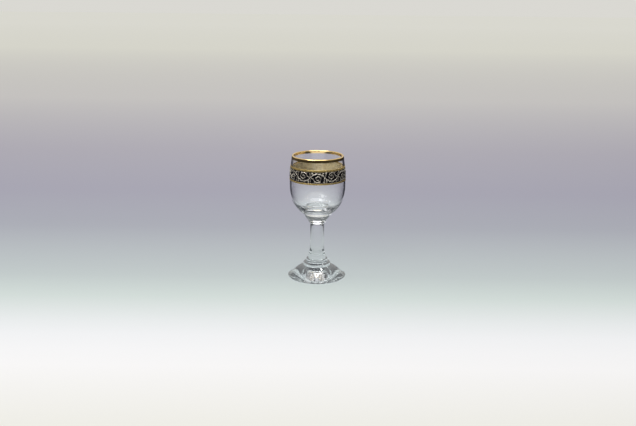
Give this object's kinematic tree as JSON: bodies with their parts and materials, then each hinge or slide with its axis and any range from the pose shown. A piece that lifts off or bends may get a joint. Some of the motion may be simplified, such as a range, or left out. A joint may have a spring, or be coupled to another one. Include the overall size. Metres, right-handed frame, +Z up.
{
  "type": "stemmed vodka glass",
  "caption": "Small stemmed glass for spirits: egg-shaped clear bowl with a gilded lip and a black and gold scroll band, a ringed solid stem and a heavy domed foot.",
  "frame": {"origin": "middle of the foot, on the table that it stands on", "axes": "+Z up the stem to the lip; X and Y lie in the table"},
  "size_m": [0.0492, 0.0492, 0.1053],
  "materials": {
    "clear_glass": "clear, fire-polished",
    "bright_gold": "fired bright gold, lightly worn",
    "black_enamel": "glossy fired enamel"
  },
  "bodies": {
    "root": {"bowl": "clear_glass", "stem": "clear_glass", "foot": "clear_glass", "enamel_band": "black_enamel", "lip_gilding": "bright_gold", "gold_ground": "bright_gold", "upper_gold_line": "bright_gold", "lower_gold_line": "bright_gold", "scroll_01": "bright_gold", "scroll_02": "bright_gold", "scroll_03": "bright_gold", "scroll_04": "bright_gold", "scroll_05": "bright_gold", "scroll_06": "bright_gold", "scroll_07": "bright_gold", "scroll_08": "bright_gold", "scroll_09": "bright_gold", "scroll_10": "bright_gold", "scroll_11": "bright_gold", "scroll_12": "bright_gold"}
  },
  "joints": []
}
